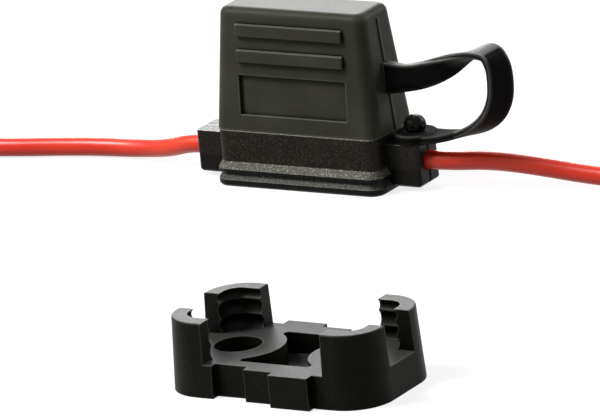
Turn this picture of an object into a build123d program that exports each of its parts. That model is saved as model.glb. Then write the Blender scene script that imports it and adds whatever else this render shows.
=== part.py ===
from build123d import *
from math import cos, radians, sin, sqrt, tan
import os

# Blade fuse holder for two wire leads, with a rubber cap on a strap and a screw-down mounting clip.
# Millimetres. X runs along the leads, Y to the back, Z up. The origin is the middle of the
# housing's underside, and everything stands or lies on the plane z = 0.

# The blade fuse that the holder is made for, a standard size
fuse_width = 29.2
fuse_thick = 8.6
fuse_height = 21.0
fuse_corner = 1.2
fuse_waist_x = 0.4
fuse_waist_y = 0.7
fuse_head_height = 5.0
fuse_foot_height = 2.4
fuse_top_chamfer = 0.4
fuse_inner_gap = 0.1
fuse_end_wall = 0.6
blade_width = 8.0
blade_thick = 0.8
blade_length = 12.0
blade_in_body = 12.5
blade_tip_chamfer = 0.25
link_drop = 1.5
link_radius = 3.0
link_width = 1.5

# Cap, a soft moulding that narrows upwards
cap_wall = 1.6
cap_top_wall = 1.8
cap_room_x = 2.0
cap_room_y = 0.5
cap_headroom = 2.4
cap_narrowing_x = 4.6
cap_narrowing_y = 4.2
cap_corner = 2.8
cap_top_round = 2.0
cap_overhang_x = 0.5
parting_ridge_width = 0.7
parting_ridge_proud = 0.25

# Raised bars and the sunk panel on the cap's two broad faces
bar_length = 26.8
bar_height = 2.9
bar_proud = 0.9
bar_corner = 0.4
bar_chamfer = 0.25
bar_drops = (4.7, 10.4)
panel_length = 26.8
panel_height = 8.8
panel_rise = 8.0
panel_sink = 0.8

# Housing, moulded in a front and a rear half
housing_corner = 2.4
housing_edge_round = 0.3
housing_step_y = 0.25
floor_thick = 1.0
deck_rise = 1.9
deck_thick = 1.5
collar_rise = 5.5
collar_wall = 1.6
collar_gap = 0.15
seam_groove = 0.5
pin_radius = 1.1
small_pin_radius = 0.7
pin_length = 2.0
pin_gap = 0.05
pin_rise = 3.4
pin_drop = 2.9
small_pin_rise = 1.9
small_pin_inset = 2.0

# Two ribs that run round the foot of the housing, one above the other
rib_proud_x = 0.9
rib_proud_y = 1.2
groove_proud_x = 0.1
groove_proud_y = 0.2
upper_rib_inset = 0.1
lower_rib_height = 1.5
lower_rib_slope = 1.2
groove_height = 0.7
upper_rib_height = 0.5
upper_rib_slope = 1.5
foot_chamfer = 0.45

# Leads
core_diameter = 3.0
jacket_wall = 0.6
core_gap = 0.05
lead_height = 6.2
bare_length = 7.0
floor_gap = 0.05

# Bosses that the leads leave through
boss_wall = 2.2
boss_roof = 2.1
boss_under = 3.05
boss_corner = 0.9
boss_chamfer = 0.5
lead_hole_gap = 0.05
lead_hole_length = 3.0

# Peg that the strap's eyelet hangs on
peg_inset = 2.6
peg_neck_radius = 1.7
peg_head_radius = 2.45
peg_head_gap = 0.3
peg_head_cone = 0.9
peg_head_straight = 0.5
peg_head_dome = 2.4

# Strap
strap_width = 6.0
strap_thick = 1.6
strap_root_rise = 11.8
strap_stub_length = 2.6
strap_flare = 0.8
strap_reach = 22.3
strap_loop_rise = 7.3
strap_overlap = 1.2
eyelet_thick = 1.8
eyelet_round = 0.4
eyelet_gap = 0.2
eyelet_lift = 0.05
eyelet_side_gap = 0.1

# Terminals, folded from brass sheet, and the steel springs that squeeze them
sheet = 0.8
blade_side_room = 0.4
contact_gap = 0.03
tip_gap = 0.1
mouth_chamfer = 0.35
mouth_depth = 0.7
tab_height = 4.0
tab_overlap = 0.55
crimp_step = 1.0
wire_crimp_length = 4.0
crimp_wall = 0.75
crimp_gap = 0.02
crimp_spacing = 0.8
jacket_crimp_length = 3.4
jacket_crimp_wall = 0.5
jacket_overrun = 0.3
core_inset = 0.7
bridge_width = 1.8
bridge_thick = 0.6
spring_sheet = 0.4
spring_width = 6.0
spring_rise = 7.5
spring_floor_gap = 0.1
chamber_gap = 0.3
chamber_end_gap = 0.8
cavity_gap = 0.15
slot_gap = 0.3

# Mounting clip, a separate moulding that lies in front of the holder
clip_x = 68.0
clip_y = -123.0
clip_gap_x = 0.35
clip_gap_y = 0.6
clip_floor = 6.9
clip_height = 15.5
claw_wall = 3.0
claw_draft = 0.8
claw_corner = 8.0
claw_inner_gap = 0.7
claw_edge_round = 0.4
claw_length = 7.2
claw_boss_gap = 0.7
wall_sink = 2.0
wall_sink_start = 2.0
wall_sink_end = 2.6
tab_steps = (1.9, 3.8)
tab_ends = (-4.4, 2.5, 11.6)
pad_radius = 9.9
pocket_half_length = 8.2
pocket_half_depth = 9.6
pocket_sink = 4.5
pocket_round = 0.7
screw_pitch = 28.0
screw_radius = 2.6
screw_seat_radius = 5.0
screw_seat_sink = 4.4
ridge_proud = 0.6
ridge_land = 0.25
ridge_gap = 0.3
top_scallop_height = 2.3

# Sizes that follow from the ones above
cap_width = fuse_width + 2 * (cap_room_x + cap_wall) + cap_narrowing_x
cap_depth = fuse_thick + 2 * (cap_room_y + cap_wall) + cap_narrowing_y
cap_height = deck_rise + fuse_height + cap_headroom + cap_top_wall
housing_width = cap_width - 2 * cap_overhang_x
housing_depth = cap_depth + 2 * housing_step_y
foot_width = housing_width + 2 * rib_proud_x
foot_depth = housing_depth + 2 * rib_proud_y
foot_corner = housing_corner + rib_proud_x
lead_diameter = core_diameter + 2 * jacket_wall
lead_radius = lead_diameter / 2
core_radius = core_diameter / 2
blade_x = (fuse_width - blade_width) / 2
jaw = blade_thick / 2 + contact_gap
terminal_width = blade_width + 2 * blade_side_room

# Heights
web_height = floor_thick + spring_floor_gap + spring_sheet
deck = web_height + sheet + tip_gap + blade_length
ledge_height = deck - deck_rise
cap_top = ledge_height + cap_height
collar_top = ledge_height + collar_rise
terminal_top = deck - deck_thick - chamber_gap
boss_bottom = lead_height - lead_radius - boss_under
boss_top = lead_height + lead_radius + boss_roof
lower_rib_top = lower_rib_height + lower_rib_slope
groove_top = lower_rib_top + groove_height
upper_rib_edge = groove_top + upper_rib_height
upper_rib_top = upper_rib_edge + upper_rib_slope
eyelet_bottom = boss_top + eyelet_lift
eyelet_middle = eyelet_bottom + eyelet_thick / 2
strap_root_height = ledge_height + strap_root_rise
floor_line = lead_radius + floor_gap

# Places along X
wire_crimp_start = blade_x + terminal_width / 2 + crimp_step
wire_crimp_end = wire_crimp_start + wire_crimp_length
jacket_crimp_start = wire_crimp_end + crimp_spacing
boss_end = jacket_crimp_start + jacket_crimp_length + chamber_end_gap + lead_hole_length
peg_x = boss_end - peg_inset
eyelet_radius = peg_x - cap_width / 2 - eyelet_side_gap

# A little extra length for cuts that go right through
past = 1.0


def cap_half_width(z):
    return (cap_width - cap_narrowing_x * (z - ledge_height) / cap_height) / 2


def cap_half_depth(z):
    return (cap_depth - cap_narrowing_y * (z - ledge_height) / cap_height) / 2


def block(low, high):
    """A box between two corners."""
    size = [b - a for a, b in zip(low, high)]
    return Pos(*[(a + b) / 2 for a, b in zip(low, high)]) * Box(*size)


def rounded_block(width, depth, corner, bottom, top):
    return Pos(0, 0, bottom) * extrude(RectangleRounded(width, depth, corner), top - bottom)


def tapered_block(low_size, high_size, low_corner, high_corner, bottom, top):
    """A solid between two rounded rectangles at two heights."""
    low = Pos(0, 0, bottom) * RectangleRounded(*low_size, low_corner)
    high = Pos(0, 0, top) * RectangleRounded(*high_size, high_corner)
    return loft([low, high])


def cap_taper(inset, bottom, top):
    """The cap's tapered form between two heights, all round smaller by the inset."""
    low = (2 * (cap_half_width(bottom) - inset), 2 * (cap_half_depth(bottom) - inset))
    high = (2 * (cap_half_width(top) - inset), 2 * (cap_half_depth(top) - inset))
    corner = max(cap_corner - inset, 0.6)
    return tapered_block(low, high, corner, corner, bottom, top)


def along_x(radius, start, end, y=0.0, z=0.0):
    """A round bar along X."""
    return Pos((start + end) / 2, y, z) * Rot(0, 90, 0) * Cylinder(radius, end - start)


def along_y(radius, start, end, x=0.0, z=0.0):
    """A round bar along Y."""
    return Pos(x, (start + end) / 2, z) * Rot(90, 0, 0) * Cylinder(radius, end - start)


def tube(path, radius):
    """A round bar along a path of straight runs and arcs."""
    section = Plane(path @ 0, z_dir=path % 0) * Circle(radius)
    return sweep(section, path=path)


def on_both_sides(solid):
    """The solid and its mirror image across the middle plane x = 0."""
    return solid + mirror(solid, Plane.YZ)


# Cap
def face_plane(side, height):
    """A plane on the cap's front (-1) or back (1) face, at this height."""
    lean = cap_narrowing_y / 2 / cap_height
    outward = Vector(0, side, lean).normalized()
    return Plane((0, side * cap_half_depth(height), height), x_dir=(-side, 0, 0), z_dir=outward)


def make_parting_ridge():
    """The raised line down the middle of the cap's right side, where the mould's halves met."""
    low, high = ledge_height, cap_top - cap_top_round
    outline = Polygon(
        (cap_half_width(low) - cap_wall / 2, low), (cap_half_width(low) + parting_ridge_proud, low),
        (cap_half_width(high) + parting_ridge_proud, high), (cap_half_width(high) - cap_wall / 2, high),
        align=None,
    )
    return extrude(Plane.XZ * outline, parting_ridge_width / 2, both=True)


def make_strap_root():
    """The stub that flares into the cap's side; the strap goes on from its end."""
    side = cap_half_width(strap_root_height)
    rows = (
        (-cap_wall / 2, strap_flare),
        (strap_stub_length / 3, strap_flare / 3),
        (strap_stub_length, 0),
    )
    sections = []
    for out, flare in rows:
        plane = Plane((side + out, 0, strap_root_height), x_dir=(0, 1, 0), z_dir=(1, 0, 0))
        sections.append(plane * Rectangle(strap_thick + 2 * flare, strap_width + 2 * flare))
    return loft(sections)


def make_cap():
    shell = cap_taper(0, ledge_height, cap_top)
    top_edges = shell.faces().sort_by(Axis.Z)[-1].edges()
    shell = fillet(top_edges, cap_top_round)
    for side in (-1, 1):
        for drop in bar_drops:
            plane = face_plane(side, cap_top - drop)
            bar = plane * extrude(RectangleRounded(bar_length, bar_height, bar_corner), bar_proud)
            shell += chamfer(bar.faces().sort_by_distance(shell.center())[-1].edges(), bar_chamfer)
            root = Rectangle(bar_length - 2 * bar_corner, bar_height - 2 * bar_corner)
            shell += plane * extrude(root, -cap_wall / 2)
        panel = face_plane(side, ledge_height + panel_rise)
        shell -= panel * extrude(Rectangle(panel_length, panel_height), -panel_sink)
    shell += on_both_sides(make_parting_ridge())
    inside = cap_taper(cap_wall, ledge_height, cap_top - cap_top_wall)
    return shell - inside + make_strap_root()


# Strap: it rises from the cap in a loop, turns by a quarter on the way, and comes down to the peg.
# Rows of both runs: share of the reach, share of the height, degrees that its outer face has turned.
strap_rising = (
    (0.0, 0.0, 0),
    (0.14, 0.05, 5),
    (0.3, 0.2, 17),
    (0.47, 0.44, 38),
    (0.64, 0.75, 66),
    (0.8, 0.965, 90),
)
strap_falling = (
    (0.9, 0.985, 104),
    (0.985, 0.85, 115),
    (1.0, 0.66, 121),
    (0.97, 0.47, 122),
    (0.87, 0.29, 118),
    (0.7, 0.155, 110),
    (0.46, 0.062, 100),
    (0.2, 0.012, 92),
    (0.0, 0.0, 90),
)


def strap_line():
    """Points of the strap's middle line (x, z), with the turn of its outer face."""
    start = cap_half_width(strap_root_height) + strap_stub_length
    end = peg_x + eyelet_radius - strap_overlap
    far = peg_x + strap_reach
    top = strap_root_height + strap_loop_rise
    points = []
    for reach, height, turn in strap_rising:
        points.append((start + reach * (far - start), strap_root_height + height * strap_loop_rise, turn))
    for reach, height, turn in strap_falling:
        points.append((end + reach * (far - end), eyelet_middle + height * (top - eyelet_middle), turn))
    return points


def strap_section(line, index):
    """The strap's cross-section at one point of its middle line."""
    x, z, turn = line[index]
    before = line[max(index - 1, 0)]
    after = line[min(index + 1, len(line) - 1)]
    forward = Vector(after[0] - before[0], 0, after[1] - before[1]).normalized()
    if index == 0:
        forward = Vector(1, 0, 0)
    if index == len(line) - 1:
        forward = Vector(-1, 0, 0)
    outward = Vector(0, 1, 0).cross(forward) * -1
    normal = Vector(0, cos(radians(turn)), 0) + outward * sin(radians(turn))
    plane = Plane((x, 0, z), x_dir=normal.cross(forward), z_dir=forward)
    return plane * Rectangle(strap_width, strap_thick)


def make_strap():
    line = strap_line()
    band = loft([strap_section(line, index) for index in range(len(line))])
    eyelet = Pos(peg_x, 0, eyelet_middle) * Cylinder(eyelet_radius, eyelet_thick)
    eyelet = fillet(eyelet.edges(), eyelet_round)
    hole = Pos(peg_x, 0, eyelet_middle) * Cylinder(peg_neck_radius + eyelet_gap, 3 * eyelet_thick)
    return band + eyelet - hole


# Housing
def make_foot():
    """The two ribs round the housing's foot, with the groove between them."""
    lower = (foot_width, foot_depth)
    groove = (housing_width + 2 * groove_proud_x, housing_depth + 2 * groove_proud_y)
    upper = (foot_width - 2 * upper_rib_inset, foot_depth - 2 * upper_rib_inset)
    body = (housing_width, housing_depth)
    foot = rounded_block(*lower, foot_corner, 0, lower_rib_height)
    foot = chamfer(foot.faces().sort_by(Axis.Z)[0].edges(), foot_chamfer)
    foot += tapered_block(lower, groove, foot_corner, housing_corner, lower_rib_height, lower_rib_top)
    foot += rounded_block(*groove, housing_corner, lower_rib_top, groove_top)
    foot += rounded_block(*upper, foot_corner, groove_top, upper_rib_edge)
    foot += tapered_block(upper, body, foot_corner, housing_corner, upper_rib_edge, upper_rib_top)
    return foot


def make_boss():
    boss = block((0, -lead_radius - boss_wall, boss_bottom), (boss_end, lead_radius + boss_wall, boss_top))
    boss = fillet(boss.edges().filter_by(Axis.Z).sort_by(Axis.X)[-2:], boss_corner)
    return chamfer(boss.faces().sort_by(Axis.X)[-1].edges().sort_by(Axis.Z)[0], boss_chamfer)


def make_peg():
    """A short neck with a domed head, turned about the vertical axis."""
    neck_end = eyelet_lift + eyelet_thick + peg_head_gap
    cone_end = neck_end + peg_head_cone
    dome_start = cone_end + peg_head_straight
    outline = Polyline(
        (0, -past), (peg_neck_radius, -past), (peg_neck_radius, neck_end),
        (peg_head_radius, cone_end), (peg_head_radius, dome_start),
    )
    dome = EllipticalCenterArc((0, dome_start), peg_head_radius, peg_head_dome, arc_size=90)
    axis = Line((0, dome_start + peg_head_dome), (0, -past))
    profile = Plane.XZ * make_face([outline, dome, axis])
    return Pos(peg_x, 0, boss_top) * revolve(profile, Axis.Z)


def make_cavity():
    """The room for the right terminal, its spring, the fuse's blade and the end of the lead."""
    low_x = blade_x - terminal_width / 2 - chamber_gap
    high_x = blade_x + terminal_width / 2 + chamber_gap
    half_y = jaw + sheet + spring_sheet + chamber_gap
    cavity = block((low_x, -half_y, floor_thick), (high_x, half_y, deck - deck_thick))
    slot_x = blade_width / 2 + slot_gap
    slot_y = blade_thick / 2 + slot_gap
    cavity += block((blade_x - slot_x, -slot_y, terminal_top), (blade_x + slot_x, slot_y, deck + past))
    crimp_room = lead_radius + jacket_crimp_wall + crimp_gap + cavity_gap
    cavity += along_x(crimp_room, high_x - past, boss_end - lead_hole_length, z=lead_height)
    return cavity + along_x(lead_radius + lead_hole_gap, high_x, boss_end + past, z=lead_height)


def make_housing():
    """The housing as if it were one piece, with its cavities."""
    upper = rounded_block(housing_width, housing_depth, housing_corner, upper_rib_top, ledge_height)
    body = make_foot() + fillet(upper.faces().sort_by(Axis.Z)[-1].edges(), housing_edge_round)
    body += on_both_sides(make_boss())
    collar = cap_taper(cap_wall + collar_gap, ledge_height, collar_top)
    well = cap_taper(cap_wall + collar_gap + collar_wall, deck, collar_top + past)
    body += collar - well
    body += make_peg()
    body -= on_both_sides(make_cavity())
    groove_side = seam_groove * sqrt(2)
    groove = Pos(boss_end, 0, boss_top) * Rot(0, 0, 45) * Box(groove_side, groove_side, 3 * boss_top)
    return body - on_both_sides(groove)


def make_shells():
    """The front half with locating holes and the rear half with pins that fit them."""
    housing = make_housing()
    front = split(housing, Plane.XZ, keep=Keep.TOP)
    rear = split(housing, Plane.XZ, keep=Keep.BOTTOM)
    if front.center().Y > rear.center().Y:
        front, rear = rear, front
    side_x = housing_width / 2 - small_pin_inset
    places = (
        (0, pin_rise, pin_radius),
        (0, ledge_height - pin_drop, pin_radius),
        (-side_x, small_pin_rise, small_pin_radius),
        (side_x, small_pin_rise, small_pin_radius),
    )
    for x, z, radius in places:
        rear += along_y(radius, -pin_length, 0, x=x, z=z)
        front -= along_y(radius + pin_gap, -pin_length - pin_gap, past, x=x, z=z)
    return front, rear


# Terminals, for the right side; the left ones are their mirror images
def make_terminal():
    low_x = blade_x - terminal_width / 2
    high_x = blade_x + terminal_width / 2
    jaws = block((low_x, -jaw - sheet, web_height), (high_x, jaw + sheet, terminal_top))
    jaws -= block((low_x - past, -jaw, web_height + sheet), (high_x + past, jaw, terminal_top + past))
    mouth = Plane.YZ * Polygon(
        (-jaw - mouth_chamfer, terminal_top), (jaw + mouth_chamfer, terminal_top),
        (jaw, terminal_top - mouth_depth), (-jaw, terminal_top - mouth_depth), align=None,
    )
    jaws -= Pos(low_x - past, 0, 0) * extrude(mouth, terminal_width + 2 * past)
    wire_bore = core_radius + crimp_gap
    jacket_bore = lead_radius + crimp_gap
    jacket_crimp_radius = jacket_bore + jacket_crimp_wall
    tab = block(
        (high_x - tab_overlap, -jaw - sheet, lead_height - tab_height / 2),
        (wire_crimp_start + tab_overlap, -jaw, lead_height + tab_height / 2),
    )
    wire_crimp = tab + along_x(wire_bore + crimp_wall, wire_crimp_start, wire_crimp_end, z=lead_height)
    jacket_crimp_end = jacket_crimp_start + jacket_crimp_length
    jacket_crimp = along_x(jacket_crimp_radius, jacket_crimp_start, jacket_crimp_end, z=lead_height)
    bridge_bottom = lead_height - jacket_crimp_radius
    jacket_crimp += block(
        (wire_crimp_end - crimp_spacing, -bridge_width / 2, bridge_bottom),
        (jacket_crimp_start + crimp_spacing, bridge_width / 2, bridge_bottom + bridge_thick),
    )
    jacket_room_start = jacket_crimp_start - jacket_overrun - crimp_gap
    jacket_room = along_x(jacket_bore, jacket_room_start, boss_end, z=lead_height)
    wire_room = along_x(wire_bore, wire_crimp_start, jacket_crimp_start, z=lead_height)
    return jaws + wire_crimp + jacket_crimp - jacket_room - wire_room


def make_spring():
    inner = jaw + sheet
    outer = inner + spring_sheet
    low_x = blade_x - spring_width / 2
    high_x = blade_x + spring_width / 2
    top = web_height + spring_rise
    spring = block((low_x, -outer, web_height - spring_sheet), (high_x, outer, top))
    return spring - block((low_x - past, -inner, web_height), (high_x + past, inner, top + past))


# Fuse
def make_fuse_body():
    top = deck + fuse_height
    waist = RectangleRounded(fuse_width - 2 * fuse_waist_x, fuse_thick - 2 * fuse_waist_y, fuse_corner)
    full = RectangleRounded(fuse_width, fuse_thick, fuse_corner)
    body = Pos(0, 0, deck) * extrude(waist, fuse_height)
    body += Pos(0, 0, top - fuse_head_height) * extrude(full, fuse_head_height)
    body += Pos(0, 0, deck) * extrude(full, fuse_foot_height)
    for x in (-blade_x, blade_x):
        body += block(
            (x - blade_width / 2, -fuse_thick / 2, deck),
            (x + blade_width / 2, fuse_thick / 2, top - fuse_head_height / 2),
        )
    body = chamfer(body.faces().sort_by(Axis.Z)[-1].edges(), fuse_top_chamfer)
    half = blade_thick / 2 + fuse_inner_gap
    reach = fuse_width / 2 - fuse_end_wall
    room_top = deck + blade_in_body + link_radius - link_drop + fuse_inner_gap
    web = blade_x - blade_width / 2 - fuse_inner_gap
    room = block((-reach, -half, deck - past), (reach, half, room_top))
    room -= block((-web, -half, deck - past), (web, half, deck + fuse_foot_height / 2))
    return body - room


def make_fuse_element():
    """Two blades and the narrow link between them, stamped from one strip."""
    half = blade_thick / 2
    reach = fuse_width / 2 - fuse_end_wall - fuse_inner_gap
    inner = blade_x - blade_width / 2
    outer = blade_x + blade_width / 2
    blade = block((inner, -half, deck - blade_length), (outer, half, deck))
    tip = blade.faces().sort_by(Axis.Z)[0].edges()
    blade = chamfer(tip.filter_by(Axis.X), blade_tip_chamfer)
    blade += block((inner, -half, deck), (reach, half, deck + blade_in_body))
    middle = deck + blade_in_body - link_drop
    link = block((0, -half, middle - link_width / 2), (inner + past, half, middle + link_width / 2))
    element = on_both_sides(blade + link) + along_y(link_radius, -half, half, z=middle)
    return element - along_y(link_radius - link_width, -past, past, z=middle)


# Leads
left_route = (
    (-jacket_crimp_start + jacket_overrun, 0.0, lead_height),
    (-31.3, 0.0, lead_height),
    (-38.2, 1.6, 3.9),
    (-47.6, 4.2, floor_line + 0.1),
    (-61.5, 3.0, floor_line),
    (-82.0, -2.8, floor_line),
    (-105.5, -6.4, floor_line),
    (-128.0, -3.6, floor_line),
    (-145.0, 2.4, floor_line),
)
right_route = (
    (jacket_crimp_start - jacket_overrun, 0.0, lead_height),
    (32.3, 0.0, lead_height),
    (41.0, 3.4, 6.1),
    (50.5, 5.6, 4.9),
    (62.5, 7.2, 3.2),
    (77.5, 8.4, floor_line),
    (97.0, 7.6, floor_line),
    (117.0, 3.0, floor_line),
    (133.0, -3.0, floor_line),
    (145.0, -9.0, floor_line),
)


def corner_radii(points):
    """One radius for each corner, as large as its two runs allow."""
    radii = []
    for before, here, after in zip(points, points[1:], points[2:]):
        arriving = Vector(*here) - Vector(*before)
        leaving = Vector(*after) - Vector(*here)
        turn = radians(arriving.get_angle(leaving))
        shorter = min(arriving.length, leaving.length)
        radii.append(0.45 * shorter / tan(turn / 2))
    return radii


def make_lead(route, name):
    """The jacket and the copper core of one lead."""
    side = 1 if route[0][0] > 0 else -1
    radii = corner_radii(route)
    line = FilletPolyline(*route, radius=radii)
    bore = core_radius + core_gap
    jacket = tube(line, lead_radius) - tube(line, bore)
    last = Vector(*route[-1])
    ending = (last - Vector(*route[-2])).normalized()
    core_start = Vector(side * (wire_crimp_start + core_inset), 0, lead_height)
    core_end = last + ending * bare_length
    core_points = (core_start,) + tuple(Vector(*point) for point in route[1:-1]) + (core_end,)
    core = tube(FilletPolyline(*core_points, radius=radii), core_radius)
    outside = line.length - (boss_end - abs(route[0][0]))
    area = Circle(lead_radius).area - Circle(bore).area
    print(name, "radii", [round(radius, 1) for radius in radii])
    print(name, "jacket outside the housing", round(outside, 1))
    print(name, "with its bare end", round(outside + bare_length, 1))
    print(name, "volume over section times length", round(jacket.volume / (area * line.length), 4))
    return jacket, core


# Mounting clip, sized from the housing's foot that it holds
clip_half_x = foot_width / 2 + clip_gap_x
clip_half_y = foot_depth / 2 + clip_gap_y
clip_outer_y = clip_half_y + claw_wall + claw_draft
claw_inner_corner = foot_corner + claw_inner_gap


def make_scallop(low, high):
    """A round-bottomed groove round the inside of the claws, between two heights."""
    half = (high - low - ridge_land) / 2
    radius = (half ** 2 + ridge_proud ** 2) / (2 * ridge_proud)
    size = (2 * (clip_half_x - radius), 2 * (clip_half_y - radius))
    middle = RectangleRounded(*size, claw_inner_corner - radius)
    path = Pos(0, 0, (low + high) / 2) * middle.wire()
    return tube(path, radius) & block((-clip_half_x, -clip_half_y, low), (clip_half_x, clip_half_y, high))


def make_claw_ring():
    """The clip's rounded block with its claws' draft and scalloped inner faces, before it is cut."""
    low = (2 * (clip_half_x + claw_wall + claw_draft), 2 * clip_outer_y)
    high = (2 * (clip_half_x + claw_wall), 2 * (clip_half_y + claw_wall))
    ring = tapered_block(low, high, claw_corner + claw_draft, claw_corner, 0, clip_height)
    ring = fillet(ring.faces().sort_by(Axis.Z)[-1].edges(), claw_edge_round)
    crest = (2 * (clip_half_x - ridge_proud), 2 * (clip_half_y - ridge_proud))
    ring -= rounded_block(*crest, claw_inner_corner - ridge_proud, clip_floor, clip_height + past)
    in_groove = clip_floor + (lower_rib_top + groove_top) / 2
    above_rib = clip_floor + upper_rib_top + ridge_gap + ridge_proud
    levels = (clip_floor, in_groove, above_rib, above_rib + top_scallop_height)
    for below, above in zip(levels, levels[1:]):
        ring -= make_scallop(below, above)
    return ring


def make_clip():
    clip = make_claw_ring()
    claw_gap = 2 * (lead_radius + boss_wall + claw_boss_gap)
    claw_end = clip_half_x - claw_length
    far_x = clip_half_x + claw_wall + claw_draft + past
    far_y = clip_outer_y + past
    clip -= block((-far_x, -claw_gap / 2, clip_floor), (far_x, claw_gap / 2, clip_height + past))
    clip -= block((-claw_end, -far_y, clip_floor), (claw_end, far_y, clip_height + past))
    # The long walls: sunk beside one claw, then two steps outwards, the same when turned half round
    wall_y = clip_outer_y - wall_sink
    sunk = block(
        (-claw_end + wall_sink_start, -far_y, -past),
        (claw_end - wall_sink_end, -wall_y, clip_height),
    )
    steps = block((tab_ends[0], -wall_y - tab_steps[0], 0), (tab_ends[1], -wall_y, clip_floor))
    steps += block((tab_ends[1], -wall_y - tab_steps[1], 0), (tab_ends[2], -wall_y, clip_floor))
    for angle in (0, 180):
        clip = clip - Rot(0, 0, angle) * sunk
    for angle in (0, 180):
        clip = clip + Rot(0, 0, angle) * steps
    # The sunk pocket between two round pads, and a screw hole with a sunk seat in each pad
    outline = RectangleRounded(2 * pocket_half_length, 2 * pocket_half_depth, pocket_round)
    pocket = extrude(outline, pocket_sink + past)
    for x in (-screw_pitch / 2, screw_pitch / 2):
        pocket -= Pos(x, 0, 0) * Cylinder(pad_radius, 3 * pocket_sink)
    clip -= Pos(0, 0, clip_floor - pocket_sink) * pocket
    for x in (-screw_pitch / 2, screw_pitch / 2):
        seat_bottom = clip_floor - screw_seat_sink
        clip -= Pos(x, 0, clip_floor / 2) * Cylinder(screw_radius, 2 * clip_floor)
        clip -= Pos(x, 0, seat_bottom) * extrude(Circle(screw_seat_radius), screw_seat_sink + past)
    return Pos(clip_x, clip_y, 0) * clip


def main():
    os.makedirs("parts", exist_ok=True)
    front_shell, rear_shell = make_shells()
    left_jacket, left_core = make_lead(left_route, "left lead")
    right_jacket, right_core = make_lead(right_route, "right lead")
    terminal = make_terminal()
    spring = make_spring()
    pieces = {
        "cap": make_cap(),
        "retaining_strap": make_strap(),
        "front_shell": front_shell,
        "rear_shell": rear_shell,
        "left_terminal": mirror(terminal, Plane.YZ),
        "right_terminal": terminal,
        "left_contact_spring": mirror(spring, Plane.YZ),
        "right_contact_spring": spring,
        "fuse_body": make_fuse_body(),
        "fuse_element": make_fuse_element(),
        "left_lead_jacket": left_jacket,
        "left_lead_core": left_core,
        "right_lead_jacket": right_jacket,
        "right_lead_core": right_core,
        "mounting_clip": make_clip(),
    }
    for node, shape in pieces.items():
        export_step(shape, f"parts/{node}.step")


main()
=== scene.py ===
import math
import bpy
from mathutils import Matrix, Vector


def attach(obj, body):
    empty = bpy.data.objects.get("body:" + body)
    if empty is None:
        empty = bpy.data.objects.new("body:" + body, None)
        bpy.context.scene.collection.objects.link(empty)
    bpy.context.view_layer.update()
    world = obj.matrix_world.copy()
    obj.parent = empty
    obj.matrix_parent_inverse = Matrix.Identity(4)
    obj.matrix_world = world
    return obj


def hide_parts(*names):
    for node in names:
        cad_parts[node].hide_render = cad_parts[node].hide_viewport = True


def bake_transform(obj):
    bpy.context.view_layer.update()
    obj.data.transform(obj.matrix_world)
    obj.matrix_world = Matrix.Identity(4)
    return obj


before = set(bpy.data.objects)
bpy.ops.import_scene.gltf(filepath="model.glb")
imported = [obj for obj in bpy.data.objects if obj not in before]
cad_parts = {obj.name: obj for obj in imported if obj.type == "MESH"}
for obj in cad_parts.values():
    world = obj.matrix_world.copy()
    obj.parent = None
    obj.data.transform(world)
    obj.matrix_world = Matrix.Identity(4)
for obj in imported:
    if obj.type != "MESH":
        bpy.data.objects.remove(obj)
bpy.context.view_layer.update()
print("frame loaded,", len(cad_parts), "nodes")

mm = 0.001
scene = bpy.context.scene
scene.view_settings.view_transform = "Standard"


# small helpers

def srgb(code):
    # the sRGB curve, undone
    channels = [int(code[i:i + 2], 16) / 255 for i in (1, 3, 5)]
    linear = [c / 12.92 if c <= 0.04045 else ((c + 0.055) / 1.055) ** 2.4 for c in channels]
    return (*linear, 1.0)


def newMaterial(name):
    material = bpy.data.materials.new(name)
    material.use_nodes = True
    material.node_tree.nodes.clear()
    return material


def addNode(tree, kind, settings):
    # a setting is a link if it is a socket, a socket's value if the node has that socket, else a property
    node = tree.nodes.new("ShaderNode" + kind)
    properties = [k for k in settings if not isinstance(k, int) and k not in node.inputs]
    for key in properties:
        setattr(node, key, settings[key])
    for key, value in settings.items():
        if key in properties:
            continue
        if isinstance(value, bpy.types.NodeSocket):
            tree.links.new(value, node.inputs[key])
        else:
            node.inputs[key].default_value = value
    return node


def perMetre(sizeInMm):
    # texture scale whose features are about this many millimetres across
    return 1000.0 / sizeInMm


def meshObject(name, vertices, faces, smooth=True):
    mesh = bpy.data.meshes.new(name)
    mesh.from_pydata([tuple(v) for v in vertices], [], faces)
    mesh.validate()
    mesh.polygons.foreach_set("use_smooth", [smooth] * len(mesh.polygons))
    mesh.update()
    piece = bpy.data.objects.new(name, mesh)
    scene.collection.objects.link(piece)
    return piece


def skinRings(rings, closed=False):
    # quads between rings of equal point counts; an open skin gets a flat cap at each end
    count = len(rings[0])
    vertices = [point for ring in rings for point in ring]
    faces = []
    last = len(rings) if closed else len(rings) - 1
    for i in range(last):
        a = i * count
        b = (i + 1) % len(rings) * count
        for j in range(count):
            k = (j + 1) % count
            faces.append((a + j, a + k, b + k, b + j))
    if not closed:
        faces.append(tuple(reversed(range(count))))
        faces.append(tuple(range(len(vertices) - count, len(vertices))))
    return vertices, faces


def catmullRom(a, b, c, d, t):
    bend = 2 * a - 5 * b + 4 * c - d
    twist = 3 * b - a - 3 * c + d
    return 0.5 * (2 * b + (c - a) * t + bend * t * t + twist * t ** 3)


def smoothLine(points, steps):
    # a curve through rows of numbers
    rows = [points[0]] + list(points) + [points[-1]]
    line = []
    for i in range(1, len(rows) - 2):
        around = rows[i - 1:i + 3]
        for s in range(steps):
            line.append(tuple(catmullRom(*four, s / steps) for four in zip(*around)))
    line.append(tuple(points[-1]))
    return line


def smoothStep(value):
    value = min(max(value, 0.0), 1.0)
    return value * value * (3 - 2 * value)


# camera: from the photograph's side, but through a longer lens

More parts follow.
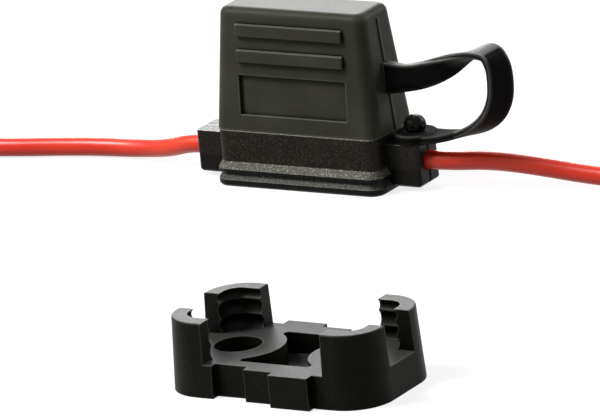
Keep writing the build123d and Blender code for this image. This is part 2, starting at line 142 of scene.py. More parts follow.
cameraPlace = {
    "location": (0.99780, -1.58338, 0.56489),
    "yaw": 32.371,
    "pitch": 16.971,
    "roll": 5.785,
    "lens": 540.0,
    "sensor": 36.0,
    "clipStart": 0.01,
}


def makeCamera(values):
    yaw, pitch, roll = (math.radians(values[k]) for k in ("yaw", "pitch", "roll"))
    forward = Vector((-math.sin(yaw) * math.cos(pitch), math.cos(yaw) * math.cos(pitch), -math.sin(pitch)))
    level = Vector((math.cos(yaw), math.sin(yaw), 0))
    down = forward.cross(level)
    right = math.cos(roll) * level + math.sin(roll) * down
    under = -math.sin(roll) * level + math.cos(roll) * down
    turn = Matrix((right, -under, -forward)).transposed()
    data = bpy.data.cameras.new("camera")
    data.lens = values["lens"]
    data.sensor_width = values["sensor"]
    data.sensor_fit = "HORIZONTAL"
    data.clip_start = values["clipStart"]
    camera = bpy.data.objects.new("camera", data)
    camera.matrix_world = Matrix.Translation(Vector(values["location"])) @ turn.to_4x4()
    scene.collection.objects.link(camera)
    scene.camera = camera


makeCamera(cameraPlace)


# studio: a floor that looks white but throws back only some light, a faint surround and four soft boxes

studio = {
    "floorSize": 3.0,
    "floorColour": "#8c8c8c",
    "floorGlow": 0.8,
    "surround": 0.18,
    "softBoxes": {
        "key": {"place": (-0.40, -0.36, 0.72), "aim": (0.0, 0.0, 0.02), "size": 0.3, "watts": 8.3},
        "behind": {"place": (-0.60, 0.95, 0.42), "aim": (0.0, 0.0, 0.02), "size": 0.7, "watts": 11.0},
        "left": {"place": (-0.60, -0.45, 0.45), "aim": (0.0, 0.0, 0.02), "size": 0.5, "watts": 1.4},
        "right": {"place": (0.50, 0.60, 0.40), "aim": (0.0, 0.0, 0.02), "size": 0.4, "watts": 4.5,
                  "tint": (0.93, 0.9, 1.0)},
    },
}


def seenDirectly(tree):
    # 1 where the eye sees the background, straight or in a shiny or clear surface
    rays = addNode(tree, "LightPath", {})
    seen = addNode(tree, "Math", {"operation": "MAXIMUM", 0: rays.outputs["Is Camera Ray"],
                                  1: rays.outputs["Is Glossy Ray"]})
    seen = addNode(tree, "Math", {"operation": "MAXIMUM", 0: seen.outputs[0],
                                  1: rays.outputs["Is Transmission Ray"]})
    return seen.outputs[0]


def makeWorld(values):
    world = bpy.data.worlds.new("surround")
    world.use_nodes = True
    scene.world = world
    tree = world.node_tree
    tree.nodes.clear()
    plain = addNode(tree, "Background", {"Color": (1, 1, 1, 1), "Strength": values["surround"]})
    white = addNode(tree, "Background", {"Color": (1, 1, 1, 1), "Strength": 1.0})
    both = addNode(tree, "MixShader", {0: seenDirectly(tree), 1: plain.outputs[0], 2: white.outputs[0]})
    addNode(tree, "OutputWorld", {"Surface": both.outputs[0]})


def makeFloor(values):
    half = values["floorSize"] / 2
    corners = [(-half, -half, 0), (half, -half, 0), (half, half, 0), (-half, half, 0)]
    floor = meshObject("floor", corners, [(0, 1, 2, 3)], smooth=False)
    paper = newMaterial("backgroundPaperMatt")
    tree = paper.node_tree
    glow = addNode(tree, "Math", {"operation": "MULTIPLY", 0: seenDirectly(tree), 1: values["floorGlow"]})
    diffuse = addNode(tree, "BsdfDiffuse", {"Color": srgb(values["floorColour"])})
    light = addNode(tree, "Emission", {"Color": (1, 1, 1, 1), "Strength": glow.outputs[0]})
    both = addNode(tree, "AddShader", {0: diffuse.outputs[0], 1: light.outputs[0]})
    addNode(tree, "OutputMaterial", {"Surface": both.outputs[0]})
    floor.data.materials.append(paper)


def makeSoftBoxes(boxes):
    for name, box in boxes.items():
        data = bpy.data.lights.new(name, "AREA")
        data.size = box["size"]
        data.energy = box["watts"]
        data.color = box.get("tint", (1, 1, 1))
        lamp = bpy.data.objects.new(name, data)
        lamp.location = box["place"]
        aim = Vector(box["aim"]) - Vector(box["place"])
        lamp.rotation_euler = aim.to_track_quat("-Z", "Y").to_euler()
        lamp.visible_camera = False     # a soft box never stands in the picture
        scene.collection.objects.link(lamp)


makeWorld(studio)
makeFloor(studio)
makeSoftBoxes(studio["softBoxes"])
print("studio ready")


# materials, named for what the real ones are and how they were made

def mottledColour(tree, place, values):
    # slow, cloudy changes between the dark and the light colour
    cloud = addNode(tree, "TexNoise", {"Vector": place, "Scale": perMetre(values["mottleMm"]),
                                       "Detail": values["mottleDetail"]})
    colour = addNode(tree, "ValToRGB", {"Fac": cloud.outputs["Fac"]})
    low, high = colour.color_ramp.elements
    low.position, high.position = values["mottleLevels"]
    low.color = srgb(values["dark"])
    high.color = srgb(values["light"])
    return colour.outputs["Color"]


def paintedSlopeHighlightMask(tree, rise, level, grained, values):
    # painted highlight: 1 on faces whose rise is near slopeRise, which are painted lighter for the light they
    # would catch from above, less of it low on the foot, none in the smooth place
    none, full = values["slopeBand"]
    away = addNode(tree, "Math", {"operation": "SUBTRACT", 0: rise, 1: values["slopeRise"]})
    away = addNode(tree, "Math", {"operation": "ABSOLUTE", 0: away.outputs[0]})
    slope = addNode(tree, "MapRange", {"Value": away.outputs[0], "From Min": none, "From Max": full,
                                       "To Min": 0.0, "To Max": values["slopeHighlightShare"]})
    slope = addNode(tree, "Math", {"operation": "MULTIPLY", 0: slope.outputs[0], 1: grained})
    lowest, highest = values["slopeFadeMm"]
    fade = addNode(tree, "MapRange", {"Value": level, "From Min": values["footHeight"] - lowest * mm,
                                      "From Max": values["footHeight"] - highest * mm,
                                      "To Min": values["slopeLeft"]})
    slope = addNode(tree, "Math", {"operation": "MULTIPLY", 0: slope.outputs[0], 1: fade.outputs[0]})
    return slope.outputs[0]


def flecksAndPaintedGlints(tree, place, colour, slope, grained, values):
    # pale flecks in the grain, and painted glints where the grain would catch the light, most of them on the
    # slopes
    often = addNode(tree, "MapRange", {"Value": slope, "To Min": values["speck"], "To Max": 1.0})
    often = addNode(tree, "Math", {"operation": "MULTIPLY", 0: often.outputs[0], 1: grained})
    specks = addNode(tree, "TexNoise", {"Vector": place, "Scale": perMetre(values["speckMm"]), "Detail": 2.0})
    none, full = values["speckLevels"]
    bright = addNode(tree, "MapRange", {"Value": specks.outputs["Fac"], "From Min": none, "From Max": full,
                                        "To Min": 0.0, "To Max": often.outputs[0]})
    mixed = addNode(tree, "Mix", {"data_type": "RGBA", 0: bright.outputs["Result"], 6: colour,
                                  7: srgb(values["fleckAndGlintColour"])})
    return mixed.outputs[2]


def paintedEdgeHighlights(tree, colour, rise, grained, values):
    # painted highlights on upper edges that stand out, lighter the more they face up, as if lit from above:
    # seen from inside, only edges are shut in
    shut = addNode(tree, "AmbientOcclusion", {"Distance": values["edgeHighlightMm"] * mm, "inside": True,
                                              "only_local": True, "samples": values["shadeSamples"]})
    least, most = values["edgeHighlightRise"]
    upward = addNode(tree, "MapRange", {"Value": rise, "From Min": least, "From Max": most,
                                        "To Min": values["sideEdgeHighlight"], "To Max": values["edgeHighlight"]})
    # less painted edge highlight in the smooth place
    smoothPlaceHighlight = addNode(tree, "MapRange", {"Value": grained, "To Min": values["smoothEdgeHighlight"]})
    upward = addNode(tree, "Math", {"operation": "MULTIPLY", 0: upward.outputs[0], 1: smoothPlaceHighlight.outputs[0]})
    none, full = values["edgeHighlightLevels"]
    edgeHighlight = addNode(tree, "MapRange", {"Value": shut.outputs["AO"], "From Min": none, "From Max": full,
                                        "To Min": 0.0, "To Max": upward.outputs[0]})
    mixed = addNode(tree, "Mix", {"data_type": "RGBA", 0: edgeHighlight.outputs["Result"], 6: colour,
                                  7: srgb(values["edgeHighlightColour"])})
    return mixed.outputs[2]


def shadedCreases(tree, colour, rise, level, values):
    # creases under ledges keep the light out, and so does the foot, close to what it stands on
    openness = addNode(tree, "AmbientOcclusion", {"Distance": values["creaseMm"] * mm, "only_local": True,
                                                  "samples": values["shadeSamples"]})
    least, most = values["creaseRise"]
    under = addNode(tree, "MapRange", {"Value": rise, "From Min": least, "From Max": most,
                                       "To Min": values["crease"], "To Max": 0.0})
    none, full = values["creaseLevels"]
    creased = addNode(tree, "MapRange", {"Value": openness.outputs["AO"], "From Min": none, "From Max": full,
                                         "To Min": 0.0, "To Max": under.outputs["Result"]})
    low = addNode(tree, "MapRange", {"Value": level, "From Min": values["footHeight"],
                                     "From Max": values["footHeight"] - values["footFadeMm"] * mm,
                                     "To Min": 0.0, "To Max": values["footShade"]})
    low = addNode(tree, "Math", {"operation": "MULTIPLY", 0: low.outputs[0], 1: under.outputs[0]})
    creased = addNode(tree, "Math", {"operation": "MAXIMUM", 0: creased.outputs["Result"], 1: low.outputs[0]})
    mixed = addNode(tree, "Mix", {"data_type": "RGBA", 0: creased.outputs[0], 6: colour,
                                  7: srgb(values["creaseColour"])})
    return mixed.outputs[2]


def mouldedNormal(tree, place, grain, grained, values):
    # softened edges, then the lumps of the smooth place, then the mould's grain
    edge = addNode(tree, "Bevel", {"Radius": values["edgeMm"] * mm, "samples": values["edgeSamples"]})
    lumps = addNode(tree, "TexNoise", {"Vector": place, "Scale": perMetre(values["lumpMm"]), "Detail": 1.0})
    depth = addNode(tree, "MapRange", {"Value": grained, "To Min": values["lumpDepthMm"] * mm, "To Max": 0.0})
    lumpy = addNode(tree, "Bump", {"Height": lumps.outputs["Fac"], "Distance": depth.outputs[0],
                                   "Strength": 1.0, "Normal": edge.outputs[0]})
    bump = addNode(tree, "Bump", {"Height": grain, "Distance": values["grainDepthMm"] * mm,
                                  "Strength": 1.0, "Normal": lumpy.outputs[0]})
    return bump.outputs["Normal"]


def mouldedRoughness(tree, grain, grained, values):
    low, high = values["grainLevels"]
    rough = addNode(tree, "MapRange", {"Value": grain, "From Min": low, "From Max": high,
                                       "To Min": values["roughness"] - values["roughnessSpread"],
                                       "To Max": values["roughness"] + values["roughnessSpread"]})
    mixed = addNode(tree, "Mix", {"data_type": "FLOAT", 0: grained, 2: values["smoothRoughness"],
                                  3: rough.outputs["Result"]})
    return mixed.outputs[0]


def mouldedPlastic(name, values):
    # a moulded black plastic or rubber; within smoothReach of smoothPlace it is smooth in place of grained
    material = newMaterial(name)
    tree = material.node_tree
    place = addNode(tree, "TexCoord", {}).outputs["Object"]
    normal = addNode(tree, "NewGeometry", {}).outputs["Normal"]
    rise = addNode(tree, "SeparateXYZ", {"Vector": normal}).outputs["Z"]
    level = addNode(tree, "SeparateXYZ", {"Vector": place}).outputs["Z"]
    near = addNode(tree, "VectorMath", {"operation": "DISTANCE", 0: place, 1: values["smoothPlace"]})
    grained = addNode(tree, "MapRange", {"Value": near.outputs["Value"],
                                         "From Min": values["smoothReach"] - values["smoothFadeMm"] * mm,
                                         "From Max": values["smoothReach"]}).outputs["Result"]
    grain = addNode(tree, "TexNoise", {"Vector": place, "Scale": perMetre(values["grainMm"]), "Detail": 4.0,
                                       "Roughness": 0.6}).outputs["Fac"]
    # painted highlight: faces that face up at slopeRise are painted in the lighter slope colour
    slope = paintedSlopeHighlightMask(tree, rise, level, grained, values)
    plain = addNode(tree, "Mix", {"data_type": "RGBA", 0: grained, 6: srgb(values["smoothColour"]),
                                  7: mottledColour(tree, place, values)})
    slopeHighlighted = addNode(tree, "Mix", {"data_type": "RGBA", 0: slope, 6: plain.outputs[2],
                                   7: srgb(values["slopeHighlightColour"])})
    # pale flecks, and painted glints that crowd on the slopes
    colour = flecksAndPaintedGlints(tree, place, slopeHighlighted.outputs[2], slope, grained, values)
    # painted highlights on the upper edges
    colour = paintedEdgeHighlights(tree, colour, rise, grained, values)
    colour = shadedCreases(tree, colour, rise, level, values)
    shader = addNode(tree, "BsdfPrincipled", {"Base Color": colour,
                                              "Roughness": mouldedRoughness(tree, grain, grained, values),
                                              "IOR": values["ior"], "Specular IOR Level": values["shine"],
                                              "Normal": mouldedNormal(tree, place, grain, grained, values)})
    addNode(tree, "OutputMaterial", {"Surface": shader.outputs["BSDF"]})
    return material


# what the four moulded materials share, where they don't say otherwise
# a real mould's grain is about 0.1 mm across: grain and specks are drawn some four times as coarse, to show
mouldedBase = {
    "mottleDetail": 3.0,
    "mottleLevels": (0.3, 0.72),
    # painted highlight on faces that face up
    "slopeRise": 0.6,
    "slopeBand": (0.26, 0.12),          # how far the rise may be off for none and for all of the painted slope highlight
    "slopeHighlightShare": 0.0,
    "slopeHighlightColour": "#34342b",
    "slopeFadeMm": (2.6, 1.9),          # under the foot's height
    "slopeLeft": 0.4,
    "smoothPlace": (0.0, 0.0, -1.0),    # far off, so that nothing is in reach of it
    "smoothReach": 0.0,
    "smoothFadeMm": 0.5,
    "smoothColour": "#0a0907",
    "smoothRoughness": 0.34,
    "smoothEdgeHighlight": 0.3,
    "lumpMm": 1.8,
    "lumpDepthMm": 0.0,
    # pale flecks, and painted glints that crowd on the slopes
    "speckMm": 0.5,
    "speckLevels": (0.52, 0.68),
    # painted highlights on the edges
    "edgeHighlight": 1.0,
    "edgeHighlightRise": (0.2, 0.5),
    "edgeHighlightLevels": (0.93, 0.6),
    "crease": 1.0,
    "creaseRise": (0.15, 0.4),
    "creaseLevels": (0.85, 0.5),
    "footHeight": 0.0,
    "footFadeMm": 1.0,
    "footShade": 0.0,
    "grainLevels": (0.3, 0.7),
    "shadeSamples": 6,
    "edgeSamples": 4,
    "ior": 1.53,
}
rubberValues = {     # thermoplastic rubber, injection moulded: matt, soft edges with painted highlights, a slight olive cast
    **mouldedBase,
    "dark": "#32322a",
    "light": "#3d3d34",
    "mottleMm": 9.0,
    "grainMm": 0.45,
    "grainDepthMm": 0.012,
    "speck": 0.06,
    "fleckAndGlintColour": "#4a4a42",
    "edgeHighlightMm": 0.4,
    "sideEdgeHighlight": 0.2,
    "edgeHighlightColour": "#8f9186",
    "creaseMm": 1.2,
    "crease": 0.95,
    "creaseColour": "#040403",
    "edgeMm": 0.25,
    "roughness": 0.4,
    "roughnessSpread": 0.06,
    "ior": 1.5,
    "shine": 0.05,
}
strapValues = {      # the same rubber, polished mould: darker, its upper faces painted pale as a painted reflection, painted highlights on its edges, the eyelet dull
    **mouldedBase,
    "dark": "#080706",
    "light": "#0d0c0a",
    "mottleMm": 6.0,
    "grainMm": 0.5,
    "grainDepthMm": 0.006,
    "slopeRise": 1.0,
    "slopeHighlightShare": 0.85,
    "slopeHighlightColour": "#6f7270",
    "smoothPlace": (25.4 * mm, 0.0, 11.4 * mm),     # the eyelet
    "smoothReach": 12.0 * mm,
    "smoothRoughness": 0.8,
    "speck": 0.0,
    "fleckAndGlintColour": "#6f7270",
    "edgeHighlightMm": 0.8,
    "sideEdgeHighlight": 0.35,
    "edgeHighlightColour": "#a2a29c",
    "creaseMm": 1.0,
    "crease": 0.5,
    "creaseColour": "#050504",
    "edgeMm": 0.2,
    "roughness": 0.42,
    "roughnessSpread": 0.05,
    "ior": 1.5,
    "shine": 0.03,
}
housingValues = {    # glass-filled nylon from a spark-eroded mould: coarse grain, with a painted highlight and painted glints on the slopes, painted highlights on its edges and painted shade at the foot
    **mouldedBase,
    "dark": "#12100a",
    "light": "#211b11",
    "mottleMm": 4.0,
    "grainMm": 0.42,
    "grainDepthMm": 0.1,
    "slopeHighlightShare": 0.8,
    "slopeHighlightColour": "#4e4d44",
    "smoothPlace": (25.4 * mm, 0.0, 14.6 * mm),     # the peg's head, smooth but lumpy
    "smoothReach": 3.6 * mm,
    "lumpDepthMm": 1.0,
    "speckMm": 0.36,
    "speck": 0.1,
    "fleckAndGlintColour": "#9a998d",
    "edgeHighlightMm": 0.32,
    "sideEdgeHighlight": 0.0,
    "edgeHighlightColour": "#b4b4a8",
    "creaseMm": 1.6,
    "creaseColour": "#030303",
    "footHeight": 5.6 * mm,
    "footShade": 0.75,
    "edgeMm": 0.2,
    "roughness": 0.34,
    "roughnessSpread": 0.12,
    "shine": 0.08,
}
clipValues = {       # nylon, injection moulded and not filled: even, fine and matt, its tops painted lighter as a painted highlight and painted highlights on its edges
    **mouldedBase,
    "dark": "#0d0d09",
    "light": "#15150f",
    "mottleMm": 6.0,
    "grainMm": 0.35,
    "grainDepthMm": 0.02,
    "slopeRise": 1.0,
    "slopeHighlightShare": 0.8,
    "slopeHighlightColour": "#383a38",
    "speckMm": 0.3,
    "speck": 0.2,
    "fleckAndGlintColour": "#3c3c35",
    "edgeHighlightMm": 0.3,
    "edgeHighlight": 0.8,
    "sideEdgeHighlight": 0.35,
    "edgeHighlightColour": "#6a6a60",
    "creaseMm": 6.0,
    "creaseColour": "#040403",
    "edgeMm": 0.22,
    "roughness": 0.42,
    "roughnessSpread": 0.08,
    "shine": 0.05,
}
mouldedRubber = mouldedPlastic("thermoplasticRubberMoulded", rubberValues)
polishedRubber = mouldedPlastic("thermoplasticRubberPolished", strapValues)
grainedNylon = mouldedPlastic("glassFilledNylonGrained", housingValues)
mouldedNylon = mouldedPlastic("nylonMoulded", clipValues)


def extrudedPvc(name, values):
    material = newMaterial(name)
    tree = material.node_tree
    place = addNode(tree, "TexCoord", {}).outputs["Object"]
    waves = addNode(tree, "TexNoise", {"Vector": place, "Scale": perMetre(values["waveMm"]), "Detail": 2.0})
    bump = addNode(tree, "Bump", {"Height": waves.outputs["Fac"], "Distance": values["waveDepthMm"] * mm,
                                  "Strength": 1.0})
    shader = addNode(tree, "BsdfPrincipled", {"Base Color": mottledColour(tree, place, values),
                                              "Roughness": values["roughness"], "IOR": values["ior"],
                                              "Specular IOR Level": values["shine"],
                                              "Subsurface Weight": values["inside"],
                                              "Subsurface Radius": values["insideReach"],
                                              "Subsurface Scale": values["insideMm"] * mm,
                                              "Normal": bump.outputs["Normal"]})
    addNode(tree, "OutputMaterial", {"Surface": shader.outputs["BSDF"]})
    return material


jacketValues = {     # soft PVC from an extruder's die: faint waves, a soft shine and a little light inside
    "dark": "#dc280c",
    "light": "#ea3a16",
    "mottleMm": 14.0,
    "mottleDetail": 2.0,
    "mottleLevels": (0.3, 0.7),
    "waveMm": 2.2,
    "waveDepthMm": 0.02,
    "roughness": 0.3,
    "ior": 1.53,
    "shine": 0.36,
    "inside": 0.08,
    "insideMm": 0.5,
    "insideReach": (1.0, 0.25, 0.15),
}
redPvc = extrudedPvc("pvcExtrudedRed", jacketValues)


def metal(name, values):
    # bare or plated metal, with fine lines along the way it was drawn or rolled
    material = newMaterial(name)
    tree = material.node_tree
    place = addNode(tree, "TexCoord", {}).outputs["Object"]
    stretched = addNode(tree, "Mapping", {"Vector": place, "Scale": values["lineStretch"]})
    lines = addNode(tree, "TexNoise", {"Vector": stretched.outputs["Vector"],
                                       "Scale": perMetre(values["lineMm"]), "Detail": 3.0})
    low, high = values["lineLevels"]
    rough = addNode(tree, "MapRange", {"Value": lines.outputs["Fac"], "From Min": low, "From Max": high,
                                       "To Min": values["roughness"] - values["roughnessSpread"],
                                       "To Max": values["roughness"] + values["roughnessSpread"]})
    bump = addNode(tree, "Bump", {"Height": lines.outputs["Fac"], "Distance": values["lineDepthMm"] * mm,
                                  "Strength": 1.0})
    shader = addNode(tree, "BsdfPrincipled", {"Base Color": srgb(values["colour"]), "Metallic": 1.0,
                                              "Roughness": rough.outputs["Result"],
                                              "Normal": bump.outputs["Normal"]})
    addNode(tree, "OutputMaterial", {"Surface": shader.outputs["BSDF"]})
    return material


# the real lines are some hundredths of a millimetre apart: they are drawn far coarser, to show
metalBase = {"lineLevels": (0.3, 0.7), "roughnessSpread": 0.06}
tinnedBrass = metal("brassStampedTinned", {      # tin over brass: a warm grey, half dull
    **metalBase, "colour": "#cfc8b4", "lineStretch": (1, 1, 8), "lineMm": 0.6, "lineDepthMm": 0.004,
    "roughness": 0.34})
springSteel = metal("springSteelRolled", {       # cold rolled and bare: a cool grey, the shiniest
    **metalBase, "colour": "#b9babc", "lineStretch": (8, 1, 1), "lineMm": 0.5, "lineDepthMm": 0.003,
    "roughness": 0.28})
zincStrip = metal("zincStampedTinned", {         # tin over zinc: pale and even
    **metalBase, "colour": "#c6c8ca", "lineStretch": (1, 1, 6), "lineMm": 0.5, "lineDepthMm": 0.004,
    "roughness": 0.3})
drawnCopper = metal("copperDrawn", {             # bare wire from a die: warm, with lines along it
    **metalBase, "colour": "#d98a5c", "lineStretch": (1, 4, 4), "lineMm": 0.4, "lineDepthMm": 0.003,
    "roughness": 0.3})


def tintedPlastic(name, values):
    material = newMaterial(name)
    tree = material.node_tree
    place = addNode(tree, "TexCoord", {}).outputs["Object"]
    cloud = addNode(tree, "TexNoise", {"Vector": place, "Scale": perMetre(values["flowMm"]), "Detail": 2.0})
    bump = addNode(tree, "Bump", {"Height": cloud.outputs["Fac"], "Distance": values["flowDepthMm"] * mm,
                                  "Strength": 1.0})
    shader = addNode(tree, "BsdfPrincipled", {"Base Color": srgb(values["colour"]),
                                              "Roughness": values["roughness"], "IOR": values["ior"],
                                              "Transmission Weight": values["clear"],
                                              "Normal": bump.outputs["Normal"]})
    addNode(tree, "OutputMaterial", {"Surface": shader.outputs["BSDF"]})
    return material


# clear polycarbonate from a polished mould: glassy, with the strip inside showing through
greenFuse = tintedPlastic("polycarbonateTintedGreen", {
    "colour": "#35b25a", "roughness": 0.12, "ior": 1.585, "clear": 0.75, "flowMm": 5.0, "flowDepthMm": 0.02})


def dress(node, material):
    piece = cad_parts[node]
    if not piece.material_slots:
        piece.data.materials.append(material)
    for place in piece.material_slots:
        place.material = material


for node in ("front_shell", "rear_shell"):
    dress(node, grainedNylon)
for node in ("left_terminal", "right_terminal"):
    dress(node, tinnedBrass)
for node in ("left_contact_spring", "right_contact_spring"):
    dress(node, springSteel)
dress("cap", mouldedRubber)
dress("mounting_clip", mouldedNylon)
dress("fuse_body", greenFuse)
dress("fuse_element", zincStrip)
print("materials on the moulded parts")


# leads, on the routes of the part's source, in millimetres

bossZ = 6.2      # the middle of a lead in its boss
floorZ = 2.15    # and where it lies on the floor
leadSize = {
    "diameter": 4.2 * mm,
    "exitX": 28.0 * mm,
    "exitZ": bossZ * mm,
    "bareLength": 7.0 * mm,
    "roundSteps": 10,
    "lengthSteps": 16,
    "strandRings": ((0, 1), (0.62, 6), (1.22, 12)),     # each ring's radius and its number of strands
    "strandRadius": 0.3 * mm,
    "strandTwist": 0.9,
    "strandShift": 0.3,                                 # from one ring to the next, in radians
    "strandHidden": 3.0 * mm,
    "strandSteps": 14,
    "strandSides": 8,
}
leadRoutes = {
    "left": (
        (-20.5, 0.0, bossZ), (-31.3, 0.0, bossZ), (-38.2, 1.6, 3.9), (-47.6, 4.2, 2.25),
        (-61.5, 3.0, floorZ), (-82.0, -2.8, floorZ), (-105.5, -6.4, floorZ), (-128.0, -3.6, floorZ),
        (-145.0, 2.4, floorZ)),
    "right": (
        (20.5, 0.0, bossZ), (32.3, 0.0, bossZ), (41.0, 3.4, 6.1), (50.5, 5.6, 4.9), (62.5, 7.2, 3.2),
        (77.5, 8.4, floorZ), (97.0, 7.6, floorZ), (117.0, 3.0, floorZ), (133.0, -3.0, floorZ),
        (145.0, -9.0, floorZ)),
}


def makeJacket(side, points):
    curve = bpy.data.curves.new(side + "LeadJacket", "CURVE")
    curve.dimensions = "3D"
    curve.bevel_depth = leadSize["diameter"] / 2
    curve.bevel_resolution = leadSize["roundSteps"]
    curve.resolution_u = leadSize["lengthSteps"]
    curve.use_fill_caps = True
    spline = curve.splines.new("NURBS")
    spline.points.add(len(points) - 1)
    for knot, point in zip(spline.points, points):
        knot.co = (*(c * mm for c in point), 1.0)
    spline.order_u = 3
    spline.use_endpoint_u = True
    jacket = bpy.data.objects.new(side + "LeadJacket", curve)
    scene.collection.objects.link(jacket)
    curve.materials.append(redPvc)
    return jacket


def makeStrands(side, points):
    # the bared end: copper strands in rings, with the lay of the twist
    size = leadSize
    last, before = Vector(points[-1]) * mm, Vector(points[-2]) * mm
    along = (last - before).normalized()
    across = along.cross(Vector((0, 0, 1))).normalized()
    upward = across.cross(along)

    def outward(angle):
        return across * math.cos(angle) + upward * math.sin(angle)

    turns = [2 * math.pi * k / size["strandSides"] for k in range(size["strandSides"])]
    vertices, faces = [], []
    for ring, (radius, count) in enumerate(size["strandRings"]):
        for n in range(count):
            rings = []
            for s in range(size["strandSteps"] + 1):
                share = s / size["strandSteps"]
                distance = share * (size["bareLength"] + size["strandHidden"]) - size["strandHidden"]
                angle = 2 * math.pi * n / count + size["strandTwist"] * share + size["strandShift"] * ring
                middle = last + along * distance + outward(angle) * radius * mm
                rings.append([middle + outward(turn) * size["strandRadius"] for turn in turns])
            start = len(vertices)
            skin, quads = skinRings(rings)
            vertices += skin
            faces += [tuple(start + i for i in face) for face in quads]
    strands = meshObject(side + "LeadStrands", vertices, faces)
    strands.data.materials.append(drawnCopper)
    return strands


def splineLength(jacket):
    # measured on a copy of the curve without its thickness
    plain = jacket.data.copy()
    plain.bevel_depth = 0
    carrier = bpy.data.objects.new("measure", plain)
    mesh = bpy.data.meshes.new_from_object(carrier)
    points = [v.co for v in mesh.vertices]
    length = sum((b - a).length for a, b in zip(points, points[1:]))
    bpy.data.objects.remove(carrier)
    bpy.data.meshes.remove(mesh)
    return length


def makeLeads():
    for side, points in leadRoutes.items():
        jacket = makeJacket(side, points)
        strands = makeStrands(side, points)
        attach(jacket, "holder")
        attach(strands, "holder")
        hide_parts(side + "_lead_jacket")
        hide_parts(side + "_lead_core")
        length = splineLength(jacket)
        print(side, "lead", round(length / mm, 1), "mm")


makeLeads()


# strap with its eyelet, moulded with the cap, in millimetres

strapSize = {
    "width": 6.0,
    "thick": 1.6,
    "edge": 0.32,
    "rootX": 19.498,     # the cap's side at the root's height
    "rootZ": 24.3,
    "rootSink": 0.3,
    "stubLength": 2.6,
    "pegX": 25.4,
    "reach": 22.3,
    "loopRise": 7.3,
    "eyeletRadius": 4.8,
    "eyeletHole": 1.9,
    "eyeletThick": 2.2,
    "eyeletMiddle": 11.55,
    "eyeletEdge": 0.45,
    "eyeletTurns": 72,
    "overlap": 1.9,      # of the tail and the eyelet
    "neckWidth": 7.4,
    "neckSteps": 22,
    "flareWidth": 0.8,
    "flareThick": 1.0,
    "flareLength": 6.0,
    "lineSteps": 12,
    "edgeSteps": 5,
    "flatSteps": 5,
    "sharpAngle": 50.0,
}
# the loop's course: share of its reach, share of its height, and its twist in degrees
strapRising = (
    (0.0, 0.0, 0), (0.14, 0.05, 5), (0.3, 0.2, 17), (0.47, 0.44, 38), (0.64, 0.75, 66), (0.8, 0.965, 90))
strapFalling = (
    (0.9, 0.985, 104), (0.985, 0.85, 115), (1.0, 0.66, 121), (0.97, 0.47, 122), (0.87, 0.29, 118),
    (0.7, 0.155, 110), (0.46, 0.062, 100), (0.2, 0.012, 92), (0.0, 0.0, 90))


def strapLine():
    # rows of place along x, height and twist, from the cap's side to the eyelet
    s = strapSize
    start = s["rootX"] + s["stubLength"]
    end = s["pegX"] + s["eyeletRadius"] - s["overlap"]
    far = s["pegX"] + s["reach"]
    top = s["rootZ"] + s["loopRise"]
    points = [(s["rootX"] - s["rootSink"], s["rootZ"], 0)]
    for out, up, turn in strapRising:
        points.append((start + out * (far - start), s["rootZ"] + up * s["loopRise"], turn))
    for out, up, turn in strapFalling:
        points.append((end + out * (far - end), s["eyeletMiddle"] + up * (top - s["eyeletMiddle"]), turn))
    return smoothLine(points, s["lineSteps"])


def roundCorner(cx, cz, radius, first, steps):
    # points on a quarter turn that begins at the angle first, in degrees
    angles = [math.radians(first + 90 * step / steps) for step in range(steps + 1)]
    return [(cx + radius * math.cos(angle), cz + radius * math.sin(angle)) for angle in angles]


def roundedRectangle(width, thick):
    # round corners, and points on the flats too, so that the skin can twist
    s = strapSize
    halfW, halfT = width / 2 - s["edge"], thick / 2 - s["edge"]
    corners = ((halfW, halfT, 0), (-halfW, halfT, 90), (-halfW, -halfT, 180), (halfW, -halfT, 270))
    arcs = [roundCorner(cx, cz, s["edge"], first, s["edgeSteps"]) for cx, cz, first in corners]
    points = []
    for arc, following in zip(arcs, arcs[1:] + arcs[:1]):
        points += arc
        here, there = arc[-1], following[0]
        for step in range(1, s["flatSteps"]):
            share = step / s["flatSteps"]
            points.append((here[0] + (there[0] - here[0]) * share, here[1] + (there[1] - here[1]) * share))
    return points


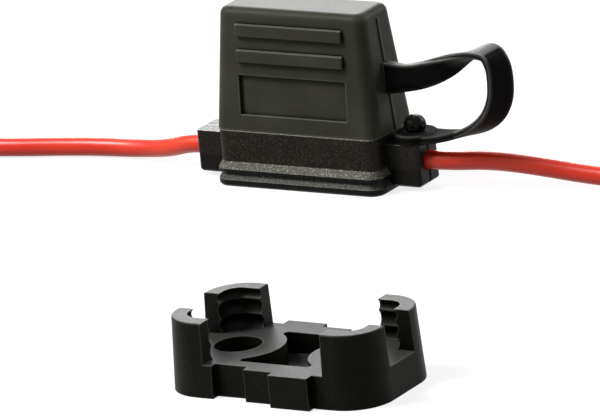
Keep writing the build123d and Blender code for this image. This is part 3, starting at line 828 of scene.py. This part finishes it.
def strapRings():
    s = strapSize
    line = strapLine()
    rings = []
    count = len(line)
    for index, (x, z, turn) in enumerate(line):
        before, after = line[max(index - 1, 0)], line[min(index + 1, count - 1)]
        forward = Vector((after[0] - before[0], 0, after[1] - before[1])).normalized()
        outward = -Vector((0, 1, 0)).cross(forward)
        angle = math.radians(turn)
        normal = Vector((0, math.cos(angle), 0)) + outward * math.sin(angle)
        across = normal.cross(forward)
        root = 1 - smoothStep((x - s["rootX"]) / s["flareLength"]) if index < count / 2 else 0.0
        neck = smoothStep(1 - (count - 1 - index) / s["neckSteps"])
        thick = s["thick"] + s["flareThick"] * root
        width = s["width"] + s["flareWidth"] * root + (s["neckWidth"] - s["width"]) * neck
        middle = Vector((x, 0, z))
        rings.append([(middle + across * u + normal * v) * mm for u, v in roundedRectangle(width, thick)])
    return rings


def eyeletRings():
    # an outline of radius and height with round edges, turned about the peg
    s = strapSize
    edge = s["eyeletEdge"]
    bottom = s["eyeletMiddle"] - s["eyeletThick"] / 2
    low, high = bottom + edge, bottom + (s["eyeletThick"] - edge)
    inner, outer = s["eyeletHole"] + edge, s["eyeletRadius"] - edge
    outline = []
    for radius, z, first in ((outer, high, 0), (inner, high, 90), (inner, low, 180), (outer, low, 270)):
        outline += roundCorner(radius, z, edge, first, s["edgeSteps"])
    rings = []
    for n in range(s["eyeletTurns"]):
        angle = 2 * math.pi * n / s["eyeletTurns"]
        rings.append([Vector((s["pegX"] + radius * math.cos(angle), radius * math.sin(angle), z)) * mm
                      for radius, z in outline])
    return rings


def joinedSkin(piece, other):
    # one moulding: the two closed skins become one
    union = piece.modifiers.new("union", "BOOLEAN")
    union.operation = "UNION"
    union.solver = "EXACT"
    union.object = other
    joined = bpy.data.meshes.new_from_object(piece.evaluated_get(bpy.context.evaluated_depsgraph_get()))
    piece.modifiers.clear()
    piece.data = joined
    bpy.data.objects.remove(other)
    joined.polygons.foreach_set("use_smooth", [True] * len(joined.polygons))
    joined.set_sharp_from_angle(angle=math.radians(strapSize["sharpAngle"]))
    joined.materials.clear()
    return joined


def makeStrap():
    strap = meshObject("strap", *skinRings(strapRings()))
    ring = meshObject("eyeletRing", *skinRings(eyeletRings(), closed=True))
    joined = joinedSkin(strap, ring)
    joined.materials.append(polishedRubber)
    print("strap and eyelet joined,", len(joined.polygons), "faces")
    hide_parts("retaining_strap")
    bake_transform(strap)


makeStrap()
print("strap made")
